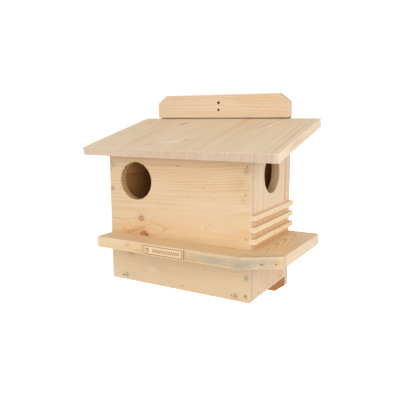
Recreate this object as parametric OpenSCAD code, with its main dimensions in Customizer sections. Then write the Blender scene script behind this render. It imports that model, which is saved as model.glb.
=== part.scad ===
// Squirrel nest house: a plain board box hung by its back board, with a round
// entrance in the front and in the right side, a platform round two sides, a
// ladder of slats, and a loose sloping roof that draws forward out of a groove.

/* [Box] */
// Outer width of the box and of its back board
box_w = 350; // [320:1:420]
// Outer face of the front wall to the face of the back board
box_d = 198; // [180:1:260]
// Thickness of the wall, floor, roof and back boards
board_t = 18; // [16:0.5:20]
// Height of the front wall at its outer face
front_h = 296; // [290:1:340]

/* [Roof] */
// Fall of the roof towards the front, in degrees
roof_pitch = 14.2; // [10:0.1:18]
// Length of the roof board along its slope
roof_len = 252; // [240:1:300]
// Roof overhang past the left wall
roof_left = 41; // [20:1:80]
// Roof overhang past the right wall, over the side of the platform
roof_right = 71; // [20:1:100]
// Reach of the roof's upper edge into the groove of the back board
roof_tongue = 4.5; // [3:0.1:5]
// Height of the slit between the roof and the upper lip of the groove
groove_slit = 3; // [1.5:0.1:4]

/* [Back board] */
// Top of the back board above the bottom of the box
back_top = 422; // [415:1:470]
// Reach of the back board below the bottom of the box
back_drop = 40; // [25:1:80]
// Width of the corners cut off the back board
corner_w = 24; // [5:1:40]
// Height of the corners cut off the back board
corner_h = 18; // [5:1:24]
// Diameter of the upper hanging hole
hang_d = 6; // [4:0.5:8]
// Diameter of the lower hanging hole
hang_lower_d = 5; // [4:0.5:8]
// Upper hanging hole below the top of the back board
hang_down = 19; // [12:1:25]
// Distance between the two hanging holes
hang_gap = 17; // [12:1:20]
// Hanging holes left of the middle of the back board
hang_off = 2; // [0:1:10]

/* [Entrances] */
// Diameter of both entrance holes
hole_d = 83; // [70:1:90]
// Front hole's centre from the left edge of the box
front_hole_x = 73; // [70:1:200]
// Front hole's centre above the bottom of the box
front_hole_z = 231; // [190:1:235]
// Side hole's centre behind the front of the box
side_hole_y = 107; // [80:1:130]
// Side hole's centre above the bottom of the box
side_hole_z = 252; // [240:1:260]

/* [Platform] */
// Thickness of the two platform boards
platform_t = 24; // [18:1:28]
// Top of the platform above the bottom of the box
platform_z = 110; // [90:1:115]
// Reach of the front board in front of the box
platform_front = 56; // [52:1:80]
// Reach of the platform past the right wall
platform_side = 75; // [70:1:100]
// Front board's left end in from the left wall
platform_inset = 6; // [0:1:15]
// Width of the corner cut off the front board
platform_cut_w = 72; // [60:1:72]
// Depth of the corner cut off the front board
platform_cut_d = 46; // [30:1:50]
// Length of the side board, back from the front of the box
platform_len = 206; // [190:1:216]

/* [Ladder] */
// How far each slat stands out from the right wall
slat_t = 10; // [8:0.5:20]
// Height of each slat
slat_h = 10.5; // [8:0.5:16]
// Length of each slat, back from the front of the box
slat_len = 214; // [190:1:216]
// Top of the lowest slat above the bottom of the box
slat_first = 132; // [128:1:140]
// Step from one slat to the next
slat_step = 23.75; // [18:0.25:26]

/* [Plaque] */
// Width of the plaque on the front edge of the platform
plaque_w = 98; // [60:1:140]
// Height of the plaque
plaque_h = 22.5; // [16:0.5:23]
// Thickness of the plaque
plaque_t = 4; // [3:0.5:6]
// Plaque's left end from the left edge of the box
plaque_x = 133; // [60:1:150]

/* [Fasteners] */
// Diameter of a screw's head
screw_head_d = 7; // [6:0.5:8]
// Diameter of a screw's shank
screw_d = 3.5; // [3:0.5:4]
// Length of the wall screws
screw_len = 36; // [30:1:40]
// Length of the screws that hold the platform
long_screw_len = 50; // [45:1:60]
// Diameter of a nail's head
nail_head_d = 3; // [2.5:0.5:4]
// Diameter of a nail
nail_d = 2; // [1.5:0.5:2.5]
// Length of the wall nails
nail_len = 35; // [30:1:38]

/* [Hidden] */
$fn = 48;

// Gap between the roof and the boards that it lies on
seat_gap = 0.2;
// Gap all round a screw or nail in its hole
fix_gap = 0.05;
// How far a nail's head is driven below the surface
nail_sink = 0.4;
// Overcut that carries a cutting shape clear of the face it cuts
over = 5;

back_y = box_d + board_t;
inner_w = box_w - 2 * board_t;
hang_x = box_w / 2 - hang_off;
hang_z = back_top - hang_down;
right_in = box_w - board_t;

// The roof: its upper back edge, and the heights of its two faces at a depth y
roof_y = box_d + roof_tongue;
roof_z = front_h + seat_gap + board_t / cos(roof_pitch) + roof_y * tan(roof_pitch);
function roof_top_at(y) = roof_z - (roof_y - y) * tan(roof_pitch);
function roof_under_at(y) = roof_top_at(y) - board_t / cos(roof_pitch);
groove_top = roof_top_at(box_d) + groove_slit;
groove_bottom = roof_under_at(box_d) - seat_gap;
groove_d = roof_tongue + board_t * sin(roof_pitch) + 1;

// The batten on the left wall's inner face
batten_t = 12;
batten_h = 40;
batten_z = 243;
batten_end = 2;
batten_nail_len = 26;

// Engraved frame of the plaque
frame_in = 2.2;
frame_line = 1;
frame_depth = 0.5;

// Where the fasteners sit. Fixings into the floor are a little over its middle.
floor_fix_z = 10.5;
edge = board_t / 2;
front_screws_at = [[9.5, 264.5], [6, 210.5], [box_w - 9.5, 266], [41, 11.5],
                   [box_w - 7, 52], [box_w - 31.5, floor_fix_z]];
front_nails_at = [[4.5, 271], [4, 253], [box_w - 8, 274.5], [box_w - 11.5, 219],
                  [box_w - 9, 130], [box_w - 40, 10], [box_w - 8.5, 13], [191, 9.5]];
floor_nails_y = [43, 104, 170];
back_screws_z = [60, 180, 300];
back_floor_x = [box_w * 0.28, box_w * 0.72];
slat_nails_y = [14, 102, slat_len - 24];
platform_front_x = [60, box_w / 2, box_w - 50];
platform_side_y = [60, 160];
platform_fix_z = platform_z - platform_t / 2;
cut_nails_x = [box_w + platform_side - 35, box_w + platform_side - 13];
cut_nail_len = 50;
batten_nails_y = [50, 160];

// Moves box coordinates (origin at the lower left front corner) to the part's
// frame, whose origin is on the back plane at the upper hanging hole.
module in_frame() {
    translate([-hang_x, -back_y, -hang_z]) children();
}

// A countersunk screw, head up at z = 0, with a cross recess.
module screw(length) {
    head_r = screw_head_d / 2;
    shank_r = screw_d / 2;
    point = 4;
    difference() {
        rotate_extrude()
            polygon([[0, 0], [head_r, 0], [head_r, -0.4], [shank_r, -0.4 - head_r + shank_r],
                     [shank_r, point - length], [0, -length]]);
        for (turn = [0, 90])
            rotate(turn)
                translate([-head_r * 0.62, -0.45, -1.4])
                    cube([head_r * 1.24, 0.9, 3]);
    }
}

// The hole that a screw needs, open at its head.
module screw_hole(length) {
    head_r = screw_head_d / 2 + fix_gap;
    shank_r = screw_d / 2 + fix_gap;
    rotate_extrude()
        polygon([[0, 1], [head_r, 1], [head_r, -0.4], [shank_r, -0.4 - head_r + shank_r],
                 [shank_r, -length - fix_gap], [0, -length - fix_gap]]);
}

// A nail driven just below the surface at z = 0.
module nail(length) {
    head_r = nail_head_d / 2;
    shank_r = nail_d / 2;
    point = 3;
    translate([0, 0, -nail_sink])
        rotate_extrude()
            polygon([[0, 0], [head_r, 0], [head_r, -0.8], [shank_r, -1.3],
                     [shank_r, point - length], [0, -length]]);
}

// The hole that a nail needs, open at its head.
module nail_hole(length, rise = 1) {
    head_r = nail_head_d / 2 + fix_gap;
    shank_r = nail_d / 2 + fix_gap;
    translate([0, 0, -nail_sink])
        rotate_extrude()
            polygon([[0, rise + nail_sink], [head_r, rise + nail_sink], [head_r, -0.8], [shank_r, -1.3],
                     [shank_r, -length - fix_gap], [0, -length - fix_gap]]);
}

// Each of these puts its children, head outwards, at every fastener of a group.
module at_front(points) {
    for (p = points)
        translate([p[0], 0, p[1]])
            rotate([90, 0, 0])
                children();
}
module at_back_screws() {
    for (x = [edge, box_w - edge], z = back_screws_z)
        translate([x, back_y, z])
            rotate([-90, 0, 0])
                children();
    for (x = back_floor_x)
        translate([x, back_y, floor_fix_z])
            rotate([-90, 0, 0])
                children();
}
module at_floor_nails() {
    for (y = floor_nails_y) {
        translate([box_w, y, floor_fix_z])
            rotate([0, 90, 0])
                children();
        translate([0, y, floor_fix_z])
            rotate([0, -90, 0])
                children();
    }
}
module at_slat_nails(step) {
    for (y = slat_nails_y)
        translate([box_w + slat_t, y, slat_first + step * slat_step - slat_h / 2])
            rotate([0, 90, 0])
                children();
}
module at_platform_screws() {
    for (x = platform_front_x)
        translate([x, board_t, platform_fix_z])
            rotate([-90, 0, 0])
                children();
    for (y = platform_side_y)
        translate([right_in, y, platform_fix_z])
            rotate([0, -90, 0])
                children();
}
module at_cut_nails() {
    for (x = cut_nails_x) {
        into_cut = (x - box_w - platform_side + platform_cut_w) / platform_cut_w;
        translate([x, -platform_front + platform_cut_d * into_cut + nail_head_d / 2, platform_fix_z - 3])
            rotate([90, 0, 0])
                children();
    }
}
module at_batten_nails() {
    for (y = batten_nails_y)
        translate([board_t + batten_t, y, batten_z + batten_h / 2])
            rotate([0, 90, 0])
                children();
}

// Everything above the line of the roof's underside, less the seat gap.
module roof_clearance() {
    translate([-over, 0, front_h])
        rotate([roof_pitch, 0, 0])
            translate([0, -100, 0])
                cube([box_w + 2 * over, 500, 200]);
}

// A panel w wide from the height bottom to the height top, with its four
// corners cut off.
module cut_panel(w, bottom, top) {
    polygon([[0, bottom + corner_h], [corner_w, bottom], [w - corner_w, bottom], [w, bottom + corner_h],
             [w, top - corner_h], [w - corner_w, top], [corner_w, top], [0, top - corner_h]]);
}

// One board behind the box, from below its bottom to above its roof.
module back_wall() {
    color("burlywood")
        in_frame()
            difference() {
                translate([0, back_y, 0])
                    rotate([90, 0, 0])
                        linear_extrude(board_t)
                            cut_panel(box_w, -back_drop, back_top);
                translate([-over, box_d - over, groove_bottom])
                    cube([box_w + 2 * over, groove_d + over, groove_top - groove_bottom]);
                translate([hang_x, box_d - over, hang_z])
                    rotate([-90, 0, 0])
                        cylinder(h = board_t + 2 * over, d = hang_d);
                translate([hang_x, box_d - over, hang_z - hang_gap])
                    rotate([-90, 0, 0])
                        cylinder(h = board_t + 2 * over, d = hang_lower_d);
                at_back_screws() screw_hole(screw_len);
            }
}

// The left wall stands between the front wall and the back board.
module left_wall() {
    color("burlywood")
        in_frame()
            difference() {
                translate([0, board_t, 0])
                    cube([board_t, box_d - board_t, back_top]);
                roof_clearance();
                at_front(front_screws_at) screw_hole(screw_len);
                at_front(front_nails_at) nail_hole(nail_len);
                at_back_screws() screw_hole(screw_len);
                at_floor_nails() nail_hole(nail_len);
                at_batten_nails() nail_hole(batten_nail_len);
            }
}

// The right wall, with the side entrance.
module right_wall() {
    color("burlywood")
        in_frame()
            difference() {
                translate([right_in, board_t, 0])
                    cube([board_t, box_d - board_t, back_top]);
                roof_clearance();
                translate([right_in - over, side_hole_y, side_hole_z])
                    rotate([0, 90, 0])
                        cylinder(h = board_t + 2 * over, d = hole_d, $fn = 96);
                at_front(front_screws_at) screw_hole(screw_len);
                at_front(front_nails_at) nail_hole(nail_len);
                at_back_screws() screw_hole(screw_len);
                at_floor_nails() nail_hole(nail_len);
                at_platform_screws() screw_hole(long_screw_len);
                for (step = [0 : 2])
                    at_slat_nails(step) nail_hole(slat_t + 16);
            }
}

// The front wall covers the ends of the side walls and has the front entrance.
module front_wall() {
    color("burlywood")
        in_frame()
            difference() {
                cube([box_w, board_t, front_h + board_t]);
                roof_clearance();
                translate([front_hole_x, -over, front_hole_z])
                    rotate([-90, 0, 0])
                        cylinder(h = board_t + 2 * over, d = hole_d, $fn = 96);
                at_front(front_screws_at) screw_hole(screw_len);
                at_front(front_nails_at) nail_hole(nail_len);
                at_platform_screws() screw_hole(long_screw_len);
                for (step = [0 : 2])
                    at_slat_nails(step) nail_hole(slat_t + 16);
            }
}

// The floor lies between the four walls, flush with their bottom edges.
module floor_board() {
    color("burlywood")
        in_frame()
            difference() {
                translate([board_t, board_t, 0])
                    cube([inner_w, box_d - board_t, board_t]);
                at_front(front_screws_at) screw_hole(screw_len);
                at_front(front_nails_at) nail_hole(nail_len);
                at_back_screws() screw_hole(screw_len);
                at_floor_nails() nail_hole(nail_len);
            }
}

// One square-cut board that slopes down to the front.
module roof_board() {
    color("wheat")
        in_frame()
            translate([-roof_left, roof_y, roof_z])
                rotate([roof_pitch, 0, 0])
                    translate([0, -roof_len, -board_t])
                        cube([box_w + roof_left + roof_right, roof_len, board_t]);
}

// The board in front of the box, with its right front corner cut off.
module front_platform() {
    right = box_w + platform_side;
    color("burlywood")
        in_frame()
            difference() {
                translate([0, 0, platform_z - platform_t])
                    linear_extrude(platform_t)
                        polygon([[platform_inset, -platform_front], [right - platform_cut_w, -platform_front],
                                 [right, platform_cut_d - platform_front], [right, 0], [platform_inset, 0]]);
                at_platform_screws() screw_hole(long_screw_len);
                at_cut_nails() nail_hole(cut_nail_len, 12);
            }
}

// The board along the right wall.
module side_platform() {
    color("burlywood")
        in_frame()
            difference() {
                translate([box_w, 0, platform_z - platform_t])
                    cube([platform_side, platform_len, platform_t]);
                at_platform_screws() screw_hole(long_screw_len);
                at_cut_nails() nail_hole(cut_nail_len, 12);
            }
}

// One slat of the ladder, counted up from the lowest.
module slat(step) {
    color("wheat")
        in_frame()
            difference() {
                translate([box_w, 0, slat_first + step * slat_step - slat_h])
                    cube([slat_t, slat_len, slat_h]);
                at_slat_nails(step) nail_hole(slat_t + 16);
            }
}
module lower_slat() { slat(0); }
module middle_slat() { slat(1); }
module upper_slat() { slat(2); }

// A thin plaque on the front edge of the platform, with an engraved frame.
module name_plaque() {
    low = platform_fix_z - plaque_h / 2;
    color("wheat")
        in_frame()
            translate([plaque_x, -platform_front - plaque_t, low])
                difference() {
                    cube([plaque_w, plaque_t, plaque_h]);
                    difference() {
                        translate([frame_in, -1, frame_in])
                            cube([plaque_w - 2 * frame_in, 1 + frame_depth, plaque_h - 2 * frame_in]);
                        translate([frame_in + frame_line, -2, frame_in + frame_line])
                            cube([plaque_w - 2 * (frame_in + frame_line), 4,
                                  plaque_h - 2 * (frame_in + frame_line)]);
                    }
                }
}

// A batten across the inner face of the left wall.
module inner_batten() {
    color("burlywood")
        in_frame()
            difference() {
                translate([board_t, board_t + batten_end, batten_z])
                    cube([batten_t, box_d - board_t - 2 * batten_end, batten_h]);
                at_batten_nails() nail_hole(batten_nail_len);
            }
}

module front_screws() {
    color("silver")
        in_frame()
            at_front(front_screws_at) screw(screw_len);
}
module front_nails() {
    color("gray")
        in_frame()
            at_front(front_nails_at) nail(nail_len);
}
module back_screws() {
    color("silver")
        in_frame()
            at_back_screws() screw(screw_len);
}
module floor_nails() {
    color("gray")
        in_frame()
            at_floor_nails() nail(nail_len);
}
module slat_nails() {
    color("gray")
        in_frame()
            for (step = [0 : 2])
                at_slat_nails(step) nail(slat_t + 16);
}
module platform_screws() {
    color("silver")
        in_frame()
            at_platform_screws() screw(long_screw_len);
}
module platform_nails() {
    color("gray")
        in_frame()
            at_cut_nails() nail(cut_nail_len);
}
module batten_nails() {
    color("gray")
        in_frame()
            at_batten_nails() nail(batten_nail_len);
}

back_wall();
left_wall();
right_wall();
front_wall();
floor_board();
roof_board();
front_platform();
side_platform();
upper_slat();
middle_slat();
lower_slat();
name_plaque();
inner_batten();
front_screws();
front_nails();
back_screws();
floor_nails();
slat_nails();
platform_screws();
platform_nails();
batten_nails();
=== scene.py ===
"""Looks of a squirrel nest house: spruce boards, plaque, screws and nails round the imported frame."""

import functools
import math

import bmesh
import bpy
from mathutils import Matrix, Vector


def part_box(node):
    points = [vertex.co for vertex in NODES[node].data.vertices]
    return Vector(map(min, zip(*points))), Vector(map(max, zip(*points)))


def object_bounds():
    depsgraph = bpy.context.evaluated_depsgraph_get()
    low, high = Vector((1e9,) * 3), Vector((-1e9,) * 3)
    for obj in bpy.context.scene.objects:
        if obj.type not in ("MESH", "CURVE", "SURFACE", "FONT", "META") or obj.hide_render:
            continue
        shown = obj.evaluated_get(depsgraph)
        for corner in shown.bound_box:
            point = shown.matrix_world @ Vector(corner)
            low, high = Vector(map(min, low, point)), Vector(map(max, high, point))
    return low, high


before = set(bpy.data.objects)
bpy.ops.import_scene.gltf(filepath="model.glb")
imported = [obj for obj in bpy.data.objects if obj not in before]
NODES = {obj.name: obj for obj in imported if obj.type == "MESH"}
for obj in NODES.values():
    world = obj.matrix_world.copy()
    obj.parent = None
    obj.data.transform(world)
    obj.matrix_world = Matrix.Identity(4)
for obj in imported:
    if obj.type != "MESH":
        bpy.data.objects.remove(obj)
cad_low, cad_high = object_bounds()

MM = 0.001
ROOF_PITCH = math.radians(14.2)
X, Y, Z = Vector((1, 0, 0)), Vector((0, 1, 0)), Vector((0, 0, 1))
# Each board's axes: along the grain, across its face, through its thickness.
ACROSS_FRONT = (X, Z, Y)
UPRIGHT = (Z, Y, X)
FLAT_ACROSS = (X, Y, Z)
FLAT_BACK = (Y, X, Z)
EDGE_BACK = (Y, Z, X)
DOWN_SLOPE = (
    Vector((0, -math.cos(ROOF_PITCH), -math.sin(ROOF_PITCH))),
    X,
    Vector((0, -math.sin(ROOF_PITCH), math.cos(ROOF_PITCH))),
)
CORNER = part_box("front_wall")[0]
ROOF_T = 18 * MM
roof_low, roof_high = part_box("roof_board")
ROOF_CORNER = Vector(
    (CORNER.x, roof_high.y - ROOF_T * math.sin(ROOF_PITCH), roof_high.z)
)


def linear(r, g, b):
    """A screen colour of 0 to 255 per channel, as linear light."""

    def channel(c):
        c /= 255
        return c / 12.92 if c <= 0.04045 else ((c + 0.055) / 1.055) ** 2.4

    return (channel(r), channel(g), channel(b), 1.0)


class Nodes:
    """Builds nodes in self.tree. Every call returns an output socket."""

    def put(self, kind, values, out=0, **settings):
        node = self.tree.nodes.new(kind)
        for key, value in settings.items():
            setattr(node, key, value)
        for key, value in values.items():
            if isinstance(value, bpy.types.NodeSocket):
                self.tree.links.new(value, node.inputs[key])
            else:
                node.inputs[key].default_value = value
        return node.outputs[out]

    def math(self, operation, *values):
        return self.put(
            "ShaderNodeMath", dict(enumerate(values)), operation=operation
        )

    def chain(self, operation, values):
        total = values[0]
        for value in values[1:]:
            total = self.math(operation, total, value)
        return total

    def add(self, *values):
        return self.chain("ADD", values)

    def mul(self, *values):
        return self.chain("MULTIPLY", values)

    def sub(self, a, b):
        return self.math("SUBTRACT", a, b)

    def inverse(self, value):
        return self.math("SUBTRACT", 1.0, value)

    def length(self, a, b):
        return self.math(
            "SQRT",
            self.add(self.math("MULTIPLY", a, a), self.math("MULTIPLY", b, b)),
        )

    def vec(self, operation, a, b, out=0):
        return self.put(
            "ShaderNodeVectorMath", {0: a, 1: b}, out, operation=operation
        )

    def span(self, value, low, high, to_low=0.0, to_high=1.0):
        return self.put(
            "ShaderNodeMapRange",
            {0: value, 1: low, 2: high, 3: to_low, 4: to_high},
            interpolation_type="SMOOTHSTEP",
        )

    def xyz(self, x, y, z):
        return self.put("ShaderNodeCombineXYZ", {0: x, 1: y, 2: z})

    def noise(self, vector, detail=2.0, roughness=0.5):
        return self.put(
            "ShaderNodeTexNoise",
            {"Vector": vector, "Scale": 1.0, "Detail": detail, "Roughness": roughness},
        )

    def random(self, value, salt):
        return self.put(
            "ShaderNodeTexWhiteNoise",
            {"W": self.add(value, salt)},
            noise_dimensions="1D",
        )

    def mix(self, share, a, b, blend="MIX"):
        return self.put(
            "ShaderNodeMix",
            {0: share, 6: a, 7: b},
            2,
            data_type="RGBA",
            blend_type=blend,
        )


class Recipe(Nodes):
    """A group of nodes that several materials use as one node."""

    def __init__(self, name, floats, vectors):
        self.tree = bpy.data.node_groups.new(name, "ShaderNodeTree")
        sockets = self.tree.interface
        for label in vectors:
            sockets.new_socket(label, in_out="INPUT", socket_type="NodeSocketVector")
        for label in floats:
            sockets.new_socket(label, in_out="INPUT", socket_type="NodeSocketFloat")
        sockets.new_socket("Value", in_out="OUTPUT", socket_type="NodeSocketFloat")
        self.given = self.tree.nodes.new("NodeGroupInput").outputs

    def give(self, value):
        self.tree.links.new(value, self.tree.nodes.new("NodeGroupOutput").inputs[0])
        return self.tree


def make_away():
    """The distance between two points, shortened along a line turned from the grain."""
    recipe = Recipe("away", ("Squeeze", "Cos", "Sin", "Deep"), ("Place", "At"))
    given = recipe.given
    parts = recipe.put(
        "ShaderNodeSeparateXYZ", {0: recipe.vec("SUBTRACT", given["Place"], given["At"])}
    ).node.outputs
    along = recipe.add(
        recipe.mul(parts[0], given["Cos"]), recipe.mul(parts[1], given["Sin"])
    )
    across = recipe.sub(
        recipe.mul(parts[1], given["Cos"]), recipe.mul(parts[0], given["Sin"])
    )
    offset = recipe.xyz(
        recipe.mul(along, given["Squeeze"]), across, recipe.mul(parts[2], given["Deep"])
    )
    return recipe.give(
        recipe.put("ShaderNodeVectorMath", {0: offset}, "Value", operation="LENGTH")
    )


def make_bell():
    """A smooth bump of height 1 that falls away with distance."""
    recipe = Recipe("bell", ("Distance", "Reach"), ())
    scaled = recipe.math("DIVIDE", recipe.given["Distance"], recipe.given["Reach"])
    return recipe.give(recipe.math("EXPONENT", recipe.mul(scaled, scaled, -1.0)))


AWAY, BELL = make_away(), make_bell()


class Shade(Nodes):
    """Builds one material."""

    def __init__(self, name):
        self.material = bpy.data.materials.new(name)
        self.material.use_nodes = True
        self.tree = self.material.node_tree
        self.tree.nodes.clear()

    def surface(self, colour, roughness, height, bump, **fixed):
        normal = self.put(
            "ShaderNodeBump", {"Strength": bump, "Distance": MM, "Height": height}
        )
        shader = self.put(
            "ShaderNodeBsdfPrincipled",
            {"Base Color": colour, "Roughness": roughness, "Normal": normal},
        ).node
        for key, value in fixed.items():
            shader.inputs[key.replace("_", " ")].default_value = value
        output = self.tree.nodes.new("ShaderNodeOutputMaterial")
        self.tree.links.new(shader.outputs[0], output.inputs[0])
        return self.material


LIGHT = linear(227, 200, 165)
DARK = linear(212, 166, 114)
PALE = linear(238, 222, 198)
END_TINT = linear(230, 206, 180)
END_DARK = linear(192, 160, 136)
KNOT_CORE = linear(200, 144, 104)
KNOT_RIM = linear(150, 90, 60)
BROWN = linear(112, 76, 46)
ORANGE = linear(222, 164, 104)
GREY = linear(160, 152, 136)
# Painted shade for the faces inside the box, multiplied onto the wood.
INSIDE_SHADE = (0.8, 0.5, 0.24, 1)


def spread(points, middle, axis):
    """How far the points reach sideways from the line along an axis through middle."""
    others = [i for i in range(3) if i != axis]
    return max(math.hypot(*((p - middle)[i] for i in others)) for p in points)


@functools.cache
def heads(node):
    """Where the heads of a CAD node's screws or nails are, and their radii in millimetres."""
    mesh = bmesh.new()
    mesh.from_mesh(NODES[node].data)
    bmesh.ops.remove_doubles(mesh, verts=mesh.verts, dist=0.005 * MM)
    left = set(mesh.verts)
    found = []
    while left:
        island, edge = set(), [left.pop()]
        while edge:
            vert = edge.pop()
            island.add(vert)
            for link in vert.link_edges:
                other = link.other_vert(vert)
                if other in left:
                    left.remove(other)
                    edge.append(other)
        points = [v.co.copy() for v in island]
        low = Vector(min(p[i] for p in points) for i in range(3))
        high = Vector(max(p[i] for p in points) for i in range(3))
        size = high - low
        axis = max(range(3), key=lambda i: size[i])
        middle = (low + high) / 2
        ends = []
        for end in (low[axis], high[axis]):
            near = [p for p in points if abs(p[axis] - end) < MM]
            ends.append((spread(near, middle, axis), end))
        radius, end = max(ends)
        head = middle.copy()
        head[axis] = end
        found.append((head, radius / MM))
    mesh.free()
    return sorted(found, key=lambda item: tuple(item[0]))


class Spruce(Shade):
    """Spruce cut from a log: growth rings round a pith, with knots, streaks and specks.

    Lengths are in millimetres from the front wall's lower left corner: u along the
    grain, v across the face and w through the thickness. On the roof they start at
    its upper back edge, above that corner.
    """

    def __init__(
        self,
        node,
        axes,
        pith,
        ring=5.0,
        slope=0.0,
        dip=0.0,
        wave=9.0,
        contrast=0.6,
        light=LIGHT,
        dark=DARK,
        seed=0.0,
        staves=None,
        stave_start=0.0,
        specks=0.5,
        corner=CORNER,
        reach=None,
        end_tint=END_TINT,
        end_dark=END_DARK,
        end_contrast=0.5,
        end_pitch=2.6,
        end_depth=26,
    ):
        super().__init__(node + "_wood")
        self.node, self.axes, self.corner = node, axes, corner
        self.pith, self.ring, self.slope, self.dip = pith, ring, slope, dip
        self.wave, self.contrast, self.light, self.dark = wave, contrast, light, dark
        self.seed, self.staves, self.stave_start = seed, staves, stave_start
        self.specks, self.end_contrast = specks, end_contrast
        self.end_tint, self.end_dark = end_tint, end_dark
        self.end_pitch, self.end_depth = end_pitch, end_depth
        coordinates = self.put("ShaderNodeTexCoord", {}).node
        offset = self.vec("SUBTRACT", coordinates.outputs["Object"], corner)
        self.u, self.v, self.w = (
            self.mul(self.vec("DOT_PRODUCT", offset, axis, "Value"), 1 / MM)
            for axis in axes
        )
        self.point = self.xyz(self.u, self.v, self.w)
        self.normal = coordinates.outputs["Normal"]
        facing = self.vec("DOT_PRODUCT", self.normal, axes[0], "Value")
        self.end = self.span(self.math("ABSOLUTE", facing), 0.5, 0.9)
        if reach is None:
            corners = [self.place(point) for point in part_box(node)]
            reach = [sorted(pair) for pair in zip(*corners)]
        self.reach = reach
        self.lift = 0.0
        self.strength = 1.0
        # Functions that give a mask, each with its colour, in the order they are laid on.
        # They run when the wood is made, so few values are held at once.
        self.paints = []
        # Bands of painted shade, each with its tint, laid on last.
        self.painted_shades = []
        self.bores = []

    def paint(self, colour, mask):
        self.paints.append((mask, colour))

    def place(self, point):
        """A point of the frame in the board's millimetres."""
        return tuple((point - self.corner).dot(axis) / MM for axis in self.axes)

    @functools.cache
    def grain_noise(self, along, across, salt=0.0, detail=2.0, roughness=0.5):
        """Noise stretched along the grain, of the given lengths in millimetres."""
        shift = self.seed * 7.3 + salt * 3.1
        scaled = self.vec("DIVIDE", self.point, (along, across, across))
        place = self.vec("ADD", scaled, (shift, shift * 0.7, 0))
        return self.noise(place, detail, roughness)

    @functools.cached_property
    def wobble(self):
        """Makes the edges of marks uneven, from -0.5 to 0.5."""
        return self.sub(self.grain_noise(8, 6, 7), 0.5)

    def away(self, at, stretch=1.0, rough=0.0, lean=0.0):
        """Distance from a point, shortened along a line that leans from the grain.

        A point without a depth is a line through the board.
        """
        angle = math.atan(lean)
        distance = self.put(
            "ShaderNodeGroup",
            {
                "Place": self.point,
                "At": tuple(at) if len(at) > 2 else (*at, 0.0),
                "Squeeze": 1 / stretch,
                "Cos": math.cos(angle),
                "Sin": math.sin(angle),
                "Deep": float(len(at) > 2),
            },
            node_tree=AWAY,
        )
        if rough:
            distance = self.math("MULTIPLY_ADD", self.wobble, rough, distance)
        return distance

    def bell(self, distance, reach):
        return self.put(
            "ShaderNodeGroup", {"Distance": distance, "Reach": reach}, node_tree=BELL
        )

    def swell(self, at, reach, lift, stretch=1.3):
        """Makes the growth rings bow round a point."""
        near = self.bell(self.away(at, stretch), reach)
        self.lift = self.math("MULTIPLY_ADD", near, lift, self.lift)

    def calm(self, at, reach, share, stretch=2.0):
        """Fades the growth rings round a point."""
        near = self.bell(self.away(at, stretch), reach)
        self.strength = self.mul(self.strength, self.inverse(self.mul(near, share)))

    def knot(self, at, radius, reach, lift, stretch=1.3, core=KNOT_CORE):
        """A branch cut across, with the grain flowing round it."""
        share = 0.85
        self.swell(at, reach, lift, stretch)

        def distance():
            return self.away(at, stretch, radius * 0.7)

        def inside():
            return self.inverse(self.span(distance(), radius * 0.7, radius * 1.1))

        def bark():
            broken = self.span(self.grain_noise(5, 4), 0.35, 0.6, 0.3, 1.0)
            near = self.bell(self.sub(distance(), radius * 0.92), radius * 0.32)
            return self.mul(near, broken, share)

        def rings():
            wave = self.math("SINE", self.mul(distance(), 3.4))
            return self.mul(inside(), self.span(wave, 0.1, 1.0), share * 0.3)

        self.paint(self.dark, lambda: self.mul(self.bell(distance(), radius * 1.9), 0.5))
        self.paint(core, lambda: self.mul(inside(), share))
        self.paint(KNOT_RIM, bark)
        self.paint(KNOT_RIM, rings)

    def streak(self, at, size, colour, share, rough=0.6, fibres=3.0, lean=0.0):
        """A soft patch, longer along the grain, broken up by the fibres."""

        def mask():
            distance = self.away(at, size[0] / size[1], rough * size[1], lean)
            width = 2 ** round(math.log2(size[1] / fibres))
            broken = self.span(self.grain_noise(width * 20, width, 7), 0.3, 0.7, 0.45, 1.0)
            return self.mul(self.bell(distance, size[1]), broken, share)

        self.paint(colour, mask)

    def line(self, a, b, width, colour, share, rough=0.4):
        """A soft line from one point of the face to another."""
        middle = ((a[0] + b[0]) / 2, (a[1] + b[1]) / 2)
        lean = (b[1] - a[1]) / (b[0] - a[0])
        self.streak(middle, (math.dist(a, b) / 2, width), colour, share, rough, 1.0, lean)

    def loop(self, at, radius, width, stretch, colour, share, lean=0.0):
        """A soft oval line round a point."""

        def mask():
            distance = self.away(at, stretch, radius * 0.12, lean)
            return self.mul(self.bell(self.sub(distance, radius), width), share)

        self.paint(colour, mask)

    def spot(self, at, radius, colour=BROWN, share=0.8, stretch=1.0, lean=0.0):
        """A small mark with a firm edge."""

        def mask():
            distance = self.away(at, stretch, radius * 0.7, lean)
            inside = self.inverse(self.span(distance, radius * 0.6, radius * 1.25))
            return self.mul(inside, share)

        self.paint(colour, mask)

    def shade(self, *bands, tint=INSIDE_SHADE):
        """Tints the part of the board inside every band with painted shade: axis number, nothing here,
        all here.
        """
        self.painted_shades.append((bands, tint))

    def fixed_by(self, *nodes, colour=BROWN, share=0.6):
        """Bruised wood, and painted shade, round the heads that are in the board's faces."""

        def mask(at, radius):
            return self.mul(self.bell(self.away(at, 1.0, 0.6), radius * 1.55), share)

        for node in nodes:
            for head, radius in heads(node):
                self.paint(colour, functools.partial(mask, self.place(head), radius))

    def bore(self, point, radius, axis_index, light, dark, share=0.8):
        """A hole drilled through the board; its wall is darker, partly end grain and partly painted
        shade.
        """
        at = self.place(point)
        mm = (self.u, self.v, self.w)
        pair = [i for i in range(3) if i != axis_index]

        def mask():
            distance = self.length(*(self.sub(mm[i], at[i]) for i in pair))
            return self.mul(
                self.inverse(self.span(distance, radius + 0.1, radius + 0.9)), share
            )

        self.bores.append((mask, light, dark))

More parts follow.
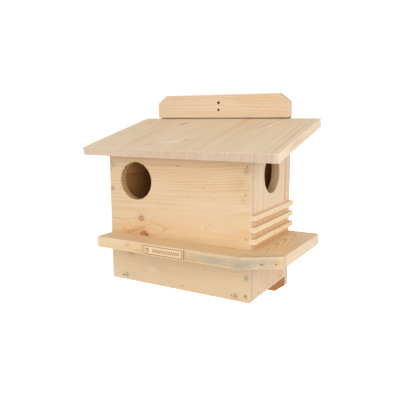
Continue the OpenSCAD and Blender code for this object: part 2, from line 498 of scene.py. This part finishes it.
    def rings(self):
        """How much late wood there is at each point, from 0 to 1, and the board's tone."""
        u, v, w = self.u, self.v, self.w
        slow = self.sub(self.grain_noise(330, 70, 1), 0.5)
        quick = self.sub(self.grain_noise(70, 22, 2), 0.5)
        bend = self.add(
            self.mul(slow, self.wave * 2.2), self.mul(quick, self.wave * 0.55)
        )
        tone = self.sub(self.grain_noise(240, 38, 3), 0.5)
        spacing = 1 / self.ring
        share = 1.0
        pith_w = self.add(self.mul(u, self.dip), self.pith[1])
        if self.staves:
            step = self.mul(self.sub(v, self.stave_start), 1 / self.staves)
            count = self.stave_count = self.math("FLOOR", step)
            middle = self.add(self.mul(self.add(count, 0.5), self.staves), self.stave_start)
            side = self.span(self.random(count, 0.31), 0.45, 0.55, -1.0, 1.0)
            throw = self.add(
                self.mul(self.random(count, 0.77), self.pith[0]), self.staves * 0.6
            )
            pith_v = self.add(middle, self.mul(side, throw))
            tone = self.add(
                tone, self.mul(self.sub(self.random(count, 0.13), 0.5), 0.3)
            )
            spacing = self.mul(
                self.add(self.mul(self.random(count, 0.59), 0.5), 0.75), spacing
            )
            share = self.add(self.mul(self.random(count, 0.41), 0.7), 0.3)
            edge = self.math("ABSOLUTE", self.sub(self.math("FRACT", step), 0.5))
            joint = self.span(edge, 0.5 - 0.6 / self.staves, 0.5)
            self.paint(DARK, lambda: self.mul(joint, 0.3))
        else:
            pith_v = self.add(self.mul(u, self.slope), self.pith[0])
        across = self.add(self.sub(v, pith_v), bend)
        radius = self.add(self.length(across, self.sub(w, pith_w)), self.lift)
        growth = self.put(
            "ShaderNodeTexNoise",
            {"W": self.mul(radius, 1 / 26), "Scale": 1.0, "Detail": 1.0},
            noise_dimensions="1D",
        )
        part = self.math(
            "FRACT", self.add(self.mul(radius, spacing), self.mul(growth, 3.0))
        )
        late = self.mul(
            self.span(part, 0.25, 0.86), self.inverse(self.span(part, 0.9, 1.0))
        )
        return late, tone, share

    def end_lines(self):
        """The growth rings as they show on the board's ends, from 0 to 1."""
        across = self.mul(self.v, 1 / self.end_pitch)
        if self.staves:
            turn = self.sub(self.random(self.stave_count, 0.93), 0.5)
            across = self.math("MULTIPLY_ADD", self.mul(self.w, turn), 1 / self.end_pitch, across)
        place = self.xyz(self.seed, across, self.mul(self.w, 1 / self.end_depth))
        return self.span(self.noise(place, 1.0), 0.38, 0.62)

    def wear_and_highlight(self):
        """How close a point is to the board's edges, from 0 to 1."""
        inset = [
            self.math("MINIMUM", self.sub(x, low), self.sub(high, x))
            for x, (low, high) in zip((self.u, self.v, self.w), self.reach)
        ]
        smaller = self.math("MINIMUM", inset[0], inset[1])
        larger = self.math("MAXIMUM", inset[0], inset[1])
        second = self.math("MAXIMUM", smaller, self.math("MINIMUM", larger, inset[2]))
        ragged = self.mul(self.grain_noise(14, 5, 9, 3.0), 2.2)
        return self.bell(self.add(second, ragged), 1.9)

    def wood(self):
        """The nodes that colour the board, and the finished material."""
        late, tone, stave_share = self.rings()
        strength = self.span(self.grain_noise(120, 20, 4), 0.3, 0.7, 0.5, 1.0)
        strength = self.mul(strength, self.strength)
        fibre = self.grain_noise(26, 0.55, 5, 3.0, 0.6)
        fleck = self.span(self.grain_noise(5, 0.5, 6), 0.66, 0.8)
        colour = self.mix(
            self.mul(late, strength, self.contrast, stave_share), self.light, self.dark
        )
        colour = self.mix(self.span(tone, 0.0, 0.4, 0.0, 0.45), colour, self.dark)
        colour = self.mix(self.span(tone, -0.4, 0.0, 0.4, 0.0), colour, PALE)
        end_colour = self.mix(
            self.mul(self.end_lines(), self.strength, self.end_contrast),
            self.end_tint,
            self.end_dark,
        )
        colour = self.mix(self.mul(self.end, 0.85), colour, end_colour)
        colour = self.put(
            "ShaderNodeHueSaturation",
            {"Value": self.span(fibre, 0.25, 0.75, 0.94, 1.05), "Color": colour},
        )
        colour = self.mix(self.mul(fleck, 0.16), colour, self.dark)
        scatter = self.xyz(
            self.mul(self.u, 1 / 15), self.mul(self.v, 1 / 11), self.mul(self.w, 1 / 11)
        )
        cells = self.put("ShaderNodeTexVoronoi", {"Vector": scatter, "Scale": 1.0}).node
        lot = self.put("ShaderNodeSeparateColor", {"Color": cells.outputs["Color"]})
        chosen = self.math("LESS_THAN", lot, self.specks * 0.4)
        dot = self.mul(
            self.inverse(self.span(cells.outputs["Distance"], 0.05, 0.1)), chosen
        )
        colour = self.mix(self.mul(dot, 0.55), colour, BROWN)
        for mask, paint in self.paints:
            colour = self.mix(mask(), colour, paint)
        # Paler edges: partly wear, partly painted highlight where light catches the eased edges.
        colour = self.mix(self.mul(self.wear_and_highlight(), 0.4), colour, PALE)
        for mask, light, dark in self.bores:
            stripes = self.mix(self.mul(late, 0.8), light, dark)
            colour = self.mix(mask(), colour, stripes)
        # Painted shade, multiplied onto the colour inside its bands.
        for bands, tint in self.painted_shades:
            shade_mask = self.chain(
                "MULTIPLY",
                [self.span((self.u, self.v, self.w)[i], a, b) for i, a, b in bands],
            )
            colour = self.mix(shade_mask, colour, tint, blend="MULTIPLY")
        roughness = self.span(
            self.add(fibre, self.mul(late, 0.4)), 0.2, 1.1, 0.74, 0.52
        )
        height = self.add(
            self.mul(late, 0.35), self.mul(fibre, 0.5), self.mul(dot, -0.8)
        )
        return self.surface(colour, roughness, height, 0.22, Specular_IOR_Level=0.32)

    def dress(self, edge=0.8):
        """Puts the wood on the CAD node and eases its edges by edge millimetres."""
        thing = NODES[self.node]
        material = self.wood()
        for place in thing.material_slots:
            place.material = material
        weld = thing.modifiers.new("weld", "WELD")
        weld.merge_threshold = 0.01 * MM
        flat = thing.modifiers.new("flat", "DECIMATE")
        flat.decimate_type = "DISSOLVE"
        flat.angle_limit = math.radians(0.5)
        bevel = thing.modifiers.new("eased", "BEVEL")
        bevel.width = edge * MM
        bevel.segments = 3
        bevel.limit_method = "ANGLE"
        bevel.angle_limit = math.radians(35)
        bevel.harden_normals = True


# --- boards -------------------------------------------------------------------

HOLE_R = 41.5
front_hole = CORNER + Vector((73, 9, 231)) * MM
side_hole = CORNER + Vector((341, 107, 252)) * MM

front = Spruce(
    "front_wall", ACROSS_FRONT, pith=(146, -62), ring=5.6, slope=0.04, wave=10,
    contrast=0.55, seed=1, specks=0.8, end_contrast=0.35, end_pitch=3.5,
    light=linear(224, 197, 159), dark=linear(212, 164, 110),
    end_tint=linear(216, 189, 162), end_dark=linear(188, 150, 122),
)
# Painted shade on its face inside the box.
front.shade((2, 17.2, 17.9))
front.swell(at=(430, 200), reach=80, lift=-12, stretch=1.9)
front.calm(at=(245, 168), reach=40, share=0.92, stretch=2.6)
front.calm(at=(200, 26), reach=52, share=0.75, stretch=5)
front.calm(at=(275, 112), reach=28, share=0.85, stretch=5)
front.calm(at=(105, 122), reach=24, share=0.9, stretch=2.2)
# A warm darker band across the lower front: painted shade.
front.streak(at=(190, 110), size=(260, 26), colour=linear(208, 166, 112), share=0.55)
front.streak(at=(60, 118), size=(34, 9), colour=linear(214, 166, 112), share=0.5)
# The grain that sweeps round the big knot.
SWEEP = linear(206, 148, 88)
front.loop(at=(119, 126), radius=13, width=1.3, stretch=2.3, colour=SWEEP, share=0.36, lean=0.12)
front.loop(at=(108, 121), radius=8.5, width=1.2, stretch=1.7, colour=SWEEP, share=0.36)
front.loop(at=(98, 118), radius=5.5, width=1.2, stretch=1.7, colour=SWEEP, share=0.36)
front.line((124, 141), (157, 133), 1.3, SWEEP, 0.6)
front.line((118, 113), (157, 134), 1.3, SWEEP, 0.6)
front.line((50.5, 114), (18, 125), 1.3, SWEEP, 0.8)
front.line((47, 113), (16, 114.5), 1.3, SWEEP, 0.7)
front.line((56, 117), (32, 121.5), 1.2, SWEEP, 0.85)
front.line((62.6, 121), (47.8, 139), 1.3, SWEEP, 0.85)
front.line((68.5, 123), (66.2, 139), 1.1, SWEEP, 0.75)
front.line((72, 124), (77, 140), 1.1, SWEEP, 0.7)
front.line((42, 110), (74, 121), 4.2, linear(190, 128, 68), 1.0)
front.line((62, 117), (95, 131), 3.6, linear(194, 136, 80), 0.95)
front.streak(at=(78, 113), size=(14, 4), colour=linear(222, 160, 112), share=0.8)
front.knot(at=(85.6, 148.3), radius=5.2, reach=11, lift=5, stretch=1.15, core=linear(206, 160, 134))
front.knot(at=(92.5, 112.5), radius=7.4, reach=15, lift=6, stretch=1.4, core=linear(190, 124, 80))
front.spot(at=(98, 111.5), radius=4, stretch=1.2, colour=linear(158, 92, 52), share=0.7)
front.swell(at=(52, 66), reach=18, lift=9, stretch=1.6)
front.spot(at=(52.4, 66), radius=3.6, stretch=1.7, colour=linear(190, 132, 78), share=0.6)
front.line((-2, 142.6), (44, 142), 0.9, linear(168, 116, 72), 0.9)
front.line((40, 142), (80, 151), 0.9, linear(196, 146, 98), 0.7)
front.streak(at=(328, 140), size=(44, 9), colour=ORANGE, share=0.42, lean=0.3)
front.streak(at=(330, 131), size=(34, 2.4), colour=ORANGE, share=0.6, lean=0.3)
front.streak(at=(160, 270), size=(60, 1.6), colour=linear(190, 138, 88), share=0.6, rough=0.4)
front.streak(at=(54, 64), size=(16, 5), colour=linear(200, 150, 96), share=0.5)
front.streak(at=(122, 42), size=(26, 10), colour=linear(190, 168, 126), share=0.35)
front.streak(at=(112, 34), size=(14, 7), colour=PALE, share=0.6)
front.streak(at=(322, 238), size=(22, 24), colour=linear(206, 170, 120), share=0.4)
front.streak(at=(331, 243), size=(8, 8), colour=linear(186, 150, 104), share=0.4)
front.streak(at=(334, 208), size=(7, 6), colour=linear(186, 150, 104), share=0.4)
# Small dark specks: where along and across the board, and the radius.
for u, v, radius in (
    (183.4, 268.8, 1.7), (244.3, 227.3, 1.3), (208.3, 205.3, 1.1), (168, 234, 1.0),
    (197.4, 165.5, 1.2), (257.6, 152.9, 1.1), (249.1, 143.6, 1.2), (225, 186, 1.0),
    (112.6, 143.9, 1.1), (5.9, 123.6, 1.3),
):
    front.spot(at=(u, v), radius=radius, stretch=1.6, share=0.45)
front.spot(at=(31.7, 9.8), radius=1.7, stretch=2.6, share=0.85)
front.spot(at=(341.5, 13.0, 0), radius=4.2, colour=linear(150, 128, 98), share=0.6)
front.fixed_by("front_screws", colour=linear(160, 118, 74), share=0.7)
front.fixed_by("front_nails", share=0.25)
# The entrance's wall, painted dark: end grain and painted shade.
front.bore(front_hole, HOLE_R, 2, light=linear(208, 172, 116), dark=linear(88, 52, 22), share=0.9)
front.dress()

back = Spruce(
    "back_wall", ACROSS_FRONT, pith=(560, -40), ring=3.6, slope=-0.04, wave=9,
    contrast=0.5, seed=2, light=linear(221, 198, 167), dark=linear(202, 160, 114),
)
# Painted shade on its face inside the box, then on the part that hangs below the box.
back.shade((2, 198.9, 198.3), (1, 346, 345), (1, 17, 18), (0, 17, 18), (0, 333, 332))
back.shade((2, 198.9, 198.3), (1, 2, -2), tint=(0.66, 0.38, 0.2, 1))
# Painted shade in the groove that the roof sits in, darkest at its right end.
GROOVE_SHADE = ((2, 198.2, 199.2), (1, 345.8, 346.2), (1, 369, 368.5), (2, 209, 208))
back.shade(*GROOVE_SHADE, tint=(0.74, 0.54, 0.36, 1))
back.shade(*GROOVE_SHADE, (0, 280, 325), tint=(0.3, 0.2, 0.12, 1))
back.streak(at=(275, 414, 198), size=(60, 1.8), colour=ORANGE, share=0.7, rough=0.4)
back.streak(at=(255, 392, 198), size=(70, 1.6), colour=ORANGE, share=0.6, rough=0.4)
back.streak(at=(116, 379, 198), size=(60, 2.2), colour=ORANGE, share=0.5)
back.knot(at=(250, 96), radius=8, reach=22, lift=11, stretch=1.5)
back.knot(at=(84, 232), radius=6, reach=18, lift=9, stretch=1.4)
back.fixed_by("back_screws", colour=linear(150, 108, 66), share=0.8)
# The hanging holes, with painted shade on their walls. The upper one is the frame's origin.
upper, lower = Vector((0, 0, 0)), Vector((0, 0, -17 * MM))
back.bore(upper, 3.3, 2, light=linear(150, 100, 52), dark=linear(110, 68, 34), share=0.95)
back.bore(lower, 2.8, 2, light=linear(160, 108, 60), dark=linear(120, 76, 40), share=0.95)
back.dress()

right = Spruce(
    "right_wall", UPRIGHT, pith=(60, 430), ring=4.6, wave=7, contrast=0.3, seed=3,
    light=linear(229, 205, 175), dark=linear(206, 158, 114), specks=0.3,
)
# Painted shade on its face inside the box.
right.shade((2, 332.8, 332.1))
# Painted shade on the wall just below each slat.
for node in ("upper_slat", "middle_slat", "lower_slat"):
    under = (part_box(node)[0].z - CORNER.z) / MM
    right.shade(
        (0, under - 19, under - 3), (0, under + 2, under), tint=(0.9, 0.66, 0.42, 1)
    )
right.line((290, 183), (180, 185), 4.0, linear(200, 128, 74), 1.0)
right.line((300, 184), (240, 184), 3.0, linear(214, 152, 104), 0.6)
right.line((290, 166.5), (190, 168), 1.8, linear(210, 154, 106), 0.8)
right.streak(at=(230, 198), size=(150, 7), colour=linear(222, 172, 136), share=0.9, fibres=1)
right.spot(at=(189, 186), radius=2.2, stretch=3, colour=linear(190, 108, 60), share=0.8)
right.streak(at=(20, 127), size=(60, 1.8), colour=linear(204, 142, 104), share=1.0, fibres=1)
right.line((34, 140), (4, 150), 1.4, linear(212, 150, 96), 0.8)
right.line((34, 152), (2, 166), 1.4, linear(212, 150, 96), 0.8)
right.streak(at=(14, 165), size=(26, 22), colour=linear(220, 168, 120), share=0.6)
right.streak(at=(40, 100), size=(60, 80), colour=linear(214, 172, 126), share=0.45)
right.fixed_by("floor_nails", share=0.7)
# The side entrance's wall: end grain, darkened with painted shade.
right.bore(side_hole, HOLE_R, 2, light=linear(192, 156, 112), dark=linear(158, 122, 84))
right.dress()

left = Spruce(
    "left_wall", UPRIGHT, pith=(120, -60), ring=4.6, wave=8, contrast=0.45, seed=4,
)
# Painted shade on its face inside the box.
left.shade((2, 17.2, 17.9), tint=(0.6, 0.37, 0.17, 1))
left.knot(at=(92, 74), radius=7, reach=18, lift=9, stretch=1.5)
left.knot(at=(196, 132), radius=5, reach=14, lift=7, stretch=1.4)
left.fixed_by("floor_nails", share=0.7)
left.dress()

base = Spruce("floor_board", FLAT_ACROSS, pith=(110, -70), ring=5, seed=5)
# Painted shade on its face inside the box.
base.shade((2, 17.2, 17.9))
base.knot(at=(210, 120), radius=8, reach=20, lift=10, stretch=1.4)
base.dress()

roof_run = (roof_high.y - roof_low.y) / MM
roof_length = (roof_run - ROOF_T / MM * math.sin(ROOF_PITCH)) / math.cos(ROOF_PITCH)
roof_sides = [(side.x - CORNER.x) / MM for side in (roof_low, roof_high)]
roof = Spruce(
    "roof_board", DOWN_SLOPE, pith=(60, -9), ring=4.7, wave=4, contrast=0.62, seed=6.2,
    staves=87, stave_start=-13, corner=ROOF_CORNER, light=linear(235, 210, 178),
    dark=linear(210, 168, 122), specks=0.25, end_contrast=0.6, end_pitch=1.35, end_depth=60,
    end_tint=linear(222, 197, 172),
    reach=[(0, roof_length), roof_sides, (-ROOF_T / MM, 0)],
)
roof.calm(at=(250, 14), reach=70, share=0.75, stretch=1)
RUST = linear(186, 120, 84)
WAN = linear(255, 244, 224)
roof.spot(at=(48.3, -0.2), radius=2.6, stretch=1.6, colour=linear(140, 100, 66), share=0.8)
roof.streak(at=(50.5, 102), size=(13, 5.5), colour=RUST, share=1.0, lean=-1.07, fibres=1)
roof.streak(at=(198, 154), size=(32, 5.5), colour=WAN, share=1.0, lean=-2.26, fibres=1)
roof.streak(at=(205, 142), size=(26, 1.8), colour=linear(196, 148, 98), share=0.6, lean=-2.0)
roof.streak(at=(182, 188), size=(16, 6), colour=linear(200, 154, 102), share=0.6, lean=-2.0)
roof.streak(at=(214, 120), size=(16, 6), colour=linear(202, 158, 108), share=0.5, lean=-2.0)
roof.swell(at=(182, 176), reach=16, lift=9, stretch=1.7)
roof.swell(at=(50, 332), reach=14, lift=9, stretch=2)
roof.spot(at=(178, 186), radius=2.6, colour=linear(120, 80, 50), share=0.9)
roof.streak(at=(52, 330), size=(18, 5), colour=WAN, share=1.0, lean=-0.4, fibres=1)
roof.streak(at=(58, 319), size=(28, 2.6), colour=linear(184, 138, 86), share=1.0, lean=-0.36, fibres=1)
roof.streak(at=(40, 345), size=(18, 2), colour=linear(196, 156, 108), share=0.7, lean=-0.2)
roof.spot(at=(48.9, 337), radius=2.4, colour=linear(130, 92, 60), share=0.8, stretch=1.5)
roof.spot(at=(180.5, 338.6), radius=1.5, share=0.6)
roof.spot(at=(109.5, -4.5), radius=1.2, share=0.5)
roof.streak(at=(120, 407), size=(150, 1.1), colour=linear(178, 126, 88), share=0.9, rough=0.3)
roof.streak(at=(120, 392), size=(130, 0.9), colour=linear(198, 150, 108), share=0.6, rough=0.3)
roof.streak(at=(150, 375), size=(140, 0.9), colour=linear(198, 150, 108), share=0.5, rough=0.3)
roof.streak(at=(110, 300), size=(140, 0.9), colour=linear(202, 160, 118), share=0.5, rough=0.3)
roof.streak(at=(150, 248), size=(140, 0.9), colour=linear(202, 160, 118), share=0.5, rough=0.3)
roof.streak(at=(125, 425, -9), size=(300, 12), colour=PALE, share=0.9, fibres=2)
roof.streak(at=(160, 421, -8), size=(40, 6), colour=linear(226, 178, 148), share=0.8)
roof.streak(at=(60, 250), size=(90, 7), colour=ORANGE, share=0.35)
roof.streak(at=(120, 70), size=(120, 9), colour=ORANGE, share=0.25)
roof.streak(at=(170, 215), size=(90, 8), colour=ORANGE, share=0.25)
roof.dress()

ledge = Spruce(
    "front_platform", FLAT_ACROSS, pith=(-20, 40), ring=5, seed=7, wave=8, contrast=0.5,
    light=linear(232, 202, 158), dark=linear(210, 162, 104),
)
ledge.streak(at=(60, -56, 102), size=(60, 9), colour=PALE, share=0.45, fibres=4)
ledge.streak(at=(88, -56, 100), size=(9, 5), colour=linear(204, 156, 98), share=0.75)
ledge.streak(at=(118, -56, 92), size=(12, 5), colour=linear(206, 164, 112), share=0.5)
ledge.spot(at=(38.1, -56, 97.4), radius=1.4, share=0.7)
ledge.streak(at=(300, -56, 97), size=(85, 13), colour=GREY, share=0.75, fibres=3)
ledge.streak(at=(250, -56, 90), size=(50, 4), colour=linear(190, 156, 112), share=0.6, fibres=4)
ledge.streak(at=(362, -52, 97), size=(24, 11), colour=GREY, share=0.85, lean=0.5, fibres=4)
ledge.streak(at=(392, -31, 97), size=(44, 16), colour=GREY, share=0.7, lean=0.64, fibres=3)
ledge.streak(at=(385, -36, 101), size=(34, 5), colour=GREY, share=0.6, lean=0.64)
ledge.streak(at=(360, -51, 90), size=(20, 5), colour=linear(150, 140, 120), share=0.5)
ledge.spot(at=(355, -28.4, 110), radius=1.3, share=0.6)
ledge.spot(at=(388, -33.6, 96), radius=1.1, share=0.7, stretch=2.2, lean=0.64)
ledge.fixed_by("platform_nails", share=0.3)
ledge.dress(edge=1.1)

side_ledge = Spruce(
    "side_platform", FLAT_BACK, pith=(376, 104), ring=5.2, dip=-0.12, seed=8, wave=4,
    contrast=0.85, light=linear(242, 212, 168), dark=linear(218, 158, 86),
)
side_ledge.calm(at=(100, 425), reach=26, share=0.8, stretch=8)
side_ledge.streak(at=(100, 426, 98), size=(300, 11), colour=linear(226, 214, 196), share=1.0, fibres=1.2)
side_ledge.streak(at=(190, 396, 110), size=(70, 30), colour=linear(240, 220, 186), share=0.7, fibres=2)
side_ledge.dress(edge=1.1)

for number, node in enumerate(("upper_slat", "middle_slat", "lower_slat")):
    slat = Spruce(
        node, EDGE_BACK, pith=(200 + 25 * number, 300), ring=4, seed=9 + number,
        light=linear(238, 217, 178), contrast=0.3, end_contrast=0.3,
    )
    slat.fixed_by("slat_nails", share=0.2)
    slat.dress(edge=0.5)

batten = Spruce("inner_batten", EDGE_BACK, pith=(262, 60), ring=4, seed=14)
# Painted shade where it stands inside the box.
batten.shade((2, 17, 17.9), tint=(0.72, 0.44, 0.2, 1))
batten.dress()

# --- plaque -------------------------------------------------------------------

BURNT = linear(150, 92, 50)
plaque = Spruce(
    "name_plaque", ACROSS_FRONT, pith=(96, -100), ring=6, seed=13,
    light=linear(238, 214, 172), contrast=0.25, specks=0,
)
(left_end, right_end), (bottom, top), _ = plaque.reach
centre = ((left_end + right_end) / 2, (bottom + top) / 2)
half = ((right_end - left_end) / 2 - 2.7, (top - bottom) / 2 - 2.7)


def outline():
    """A burnt line that follows the plaque's edge."""
    inset = [
        plaque.sub(plaque.math("ABSOLUTE", plaque.sub(x, middle)), far)
        for x, middle, far in zip((plaque.u, plaque.v), centre, half)
    ]
    return plaque.mul(plaque.bell(plaque.math("MAXIMUM", *inset), 0.95), 0.95)


def oval_line(at, size, thick):
    """A burnt oval line round a point of the plaque."""
    distance = plaque.length(
        plaque.mul(plaque.sub(plaque.u, at[0]), 1 / size[0]),
        plaque.mul(plaque.sub(plaque.v, at[1]), 1 / size[1]),
    )
    return plaque.mul(plaque.bell(plaque.sub(distance, 1.0), thick / min(size)), 0.95)


def garland():
    """A wavy line where a name would be."""
    turn = plaque.mul(plaque.sub(plaque.u, left_end), 2 * math.pi / 5.4)
    height = plaque.mul(plaque.math("SINE", turn), 2.5)
    steep = plaque.mul(plaque.math("COSINE", turn), 2.9)
    gap = plaque.math(
        "DIVIDE",
        plaque.sub(plaque.v, plaque.add(height, centre[1])),
        plaque.math("SQRT", plaque.add(plaque.mul(steep, steep), 1.0)),
    )
    within = plaque.mul(
        plaque.span(plaque.u, left_end + 22, left_end + 24),
        plaque.inverse(plaque.span(plaque.u, right_end - 9, right_end - 7)),
    )
    return plaque.mul(plaque.bell(gap, 1.0), within, 0.9)


def flank():
    """The burnt ends of the plaque."""
    facing = plaque.vec("DOT_PRODUCT", plaque.normal, X, "Value")
    return plaque.span(plaque.math("ABSOLUTE", facing), 0.9, 0.98, 0.0, 0.92)


def blob(at, stretch, reach, share):
    return plaque.mul(plaque.bell(plaque.away(at, stretch), reach), share)


plaque.paint(BURNT, outline)
# An acorn: the nut, its cap and its stalk.
nut = (left_end + 11, centre[1] - 0.8)
plaque.paint(BURNT, lambda: oval_line(nut, (3.1, 4.0), 0.9))
plaque.paint(BURNT, lambda: blob((nut[0], nut[1] + 2.9), 2.6, 1.25, 0.85))
plaque.paint(BURNT, lambda: blob((nut[0] + 0.4, nut[1] + 5.2), 0.35, 1.6, 0.7))
plaque.paint(BURNT, garland)
plaque.paint(linear(150, 108, 70), flank)
plaque.dress(edge=0.4)


# --- fasteners ----------------------------------------------------------------


def metal(name, colour, dull, low, high, recessed=()):
    """A metal with cloudy tarnish. Each named node's heads get painted shade in the recess and a dull
    rim.
    """
    shade = Shade(name)
    place = shade.put("ShaderNodeTexCoord", {}, "Object")
    cloud = shade.noise(shade.vec("MULTIPLY", place, (900.0, 900.0, 900.0)), 3.0)
    tint = shade.mix(shade.span(cloud, 0.4, 0.75), colour, dull)
    for node in recessed:
        for head, radius in heads(node):
            reach = radius * MM
            far = shade.vec("DISTANCE", place, tuple(head), "Value")
            rim = shade.mul(
                shade.span(far, reach * 0.55, reach * 0.85),
                shade.inverse(shade.span(far, reach * 1.2, reach * 1.3)),
            )
            tint = shade.mix(shade.mul(rim, 0.8), tint, linear(156, 130, 96))
            # Painted shade in the head's recess.
            recess_shade = shade.inverse(shade.span(far, reach * 0.2, reach * 0.4, 0.1, 1.0))
            tint = shade.mix(recess_shade, tint, linear(50, 48, 42))
    rough = shade.span(cloud, 0.3, 0.7, low, high)
    return shade.surface(tint, rough, cloud, 0.1, Metallic=1.0)


SCREWS = ("front_screws", "back_screws", "platform_screws")
zinc = metal("zinc", linear(168, 180, 180), linear(112, 118, 114), 0.28, 0.5, SCREWS)
steel = metal("nail_steel", linear(160, 140, 114), linear(104, 86, 66), 0.4, 0.7)
brad = metal("brad_steel", linear(196, 172, 140), linear(160, 136, 104), 0.4, 0.6)
for node in SCREWS:
    NODES[node].material_slots[0].material = zinc
for node in ("front_nails", "floor_nails", "platform_nails", "batten_nails"):
    NODES[node].material_slots[0].material = steel
NODES["slat_nails"].material_slots[0].material = brad

# --- stage, light and camera ---------------------------------------------------

FLOOR_HALF = 14
FLOOR_DROP = 0.62
CAMERA_AT = (0.56839, -1.08237, -0.03337)
CAMERA_YAW, CAMERA_PITCH, CAMERA_ROLL = 30.235, 9.513, -0.204

scene = bpy.context.scene
scene.view_settings.view_transform = "Standard"
scene.view_settings.look = "None"

floor_shade = Shade("stage_white")
where = floor_shade.put("ShaderNodeTexCoord", {}, "Object")
mottle = floor_shade.noise(where, 2.0)
stage_white = floor_shade.surface(
    floor_shade.mix(mottle, (0.93, 0.93, 0.93, 1), (0.95, 0.95, 0.95, 1)),
    0.9, mottle, 0.02,
)
stage_shader = stage_white.node_tree.nodes["Principled BSDF"]
stage_shader.inputs["Emission Color"].default_value = (1, 1, 1, 1)
stage_shader.inputs["Emission Strength"].default_value = 0.75

ground = bpy.data.meshes.new("stage_floor")
shape = bmesh.new()
bmesh.ops.create_grid(shape, x_segments=8, y_segments=8, size=FLOOR_HALF)
bmesh.ops.translate(shape, verts=shape.verts, vec=(0, 0, cad_low.z - FLOOR_DROP))
shape.to_mesh(ground)
shape.free()
ground.materials.append(stage_white)
floor = bpy.data.objects.new("stage_floor", ground)
scene.collection.objects.link(floor)
floor.visible_diffuse = False

world = bpy.data.worlds.new("studio")
scene.world = world
world.use_nodes = True
sky = world.node_tree
sky.nodes.clear()
up = sky.nodes.new("ShaderNodeSeparateXYZ")
direction = sky.nodes.new("ShaderNodeTexCoord")
sky.links.new(direction.outputs["Generated"], up.inputs[0])
dome = sky.nodes.new("ShaderNodeMapRange")
dome.inputs["From Min"].default_value = -0.35
dome.inputs["From Max"].default_value = 0.5
dome.inputs["To Min"].default_value = 0.4
dome.inputs["To Max"].default_value = 0.7
sky.links.new(up.outputs["Z"], dome.inputs[0])
path = sky.nodes.new("ShaderNodeLightPath")
strength = sky.nodes.new("ShaderNodeMix")
strength.inputs["B"].default_value = 1.05
glow = sky.nodes.new("ShaderNodeBackground")
glow.inputs["Color"].default_value = (1, 1, 1, 1)
sky_out = sky.nodes.new("ShaderNodeOutputWorld")
sky.links.new(path.outputs["Is Camera Ray"], strength.inputs["Factor"])
sky.links.new(dome.outputs[0], strength.inputs["A"])
sky.links.new(strength.outputs["Result"], glow.inputs["Strength"])
sky.links.new(glow.outputs[0], sky_out.inputs[0])

MIDDLE = (cad_low + cad_high) / 2


def softbox(name, azimuth, elevation, distance, size, power):
    """A square light that faces the middle of the house.

    Azimuth 0 is in front of the house and 90 is to its right.
    """
    a, e = math.radians(azimuth), math.radians(elevation)
    back = Vector((math.sin(a) * math.cos(e), -math.cos(a) * math.cos(e), math.sin(e)))
    data = bpy.data.lights.new(name, "AREA")
    data.energy = power
    data.size = size
    lamp = bpy.data.objects.new(name, data)
    lamp.location = MIDDLE + back * distance
    lamp.rotation_euler = back.to_track_quat("Z", "Y").to_euler()
    scene.collection.objects.link(lamp)


softbox("key", azimuth=50, elevation=8, distance=3.0, size=2.4, power=66)
softbox("fill", azimuth=-40, elevation=8, distance=3.0, size=2.2, power=18)

eye = bpy.data.cameras.new("camera")
eye.lens = 44.60
eye.sensor_width = 36
camera = bpy.data.objects.new("camera", eye)
camera.matrix_world = (
    Matrix.Translation(CAMERA_AT)
    @ Matrix.Rotation(math.radians(CAMERA_YAW), 4, "Z")
    @ Matrix.Rotation(math.radians(90 - CAMERA_PITCH), 4, "X")
    @ Matrix.Rotation(math.radians(CAMERA_ROLL), 4, "Z")
)
scene.collection.objects.link(camera)
scene.camera = camera
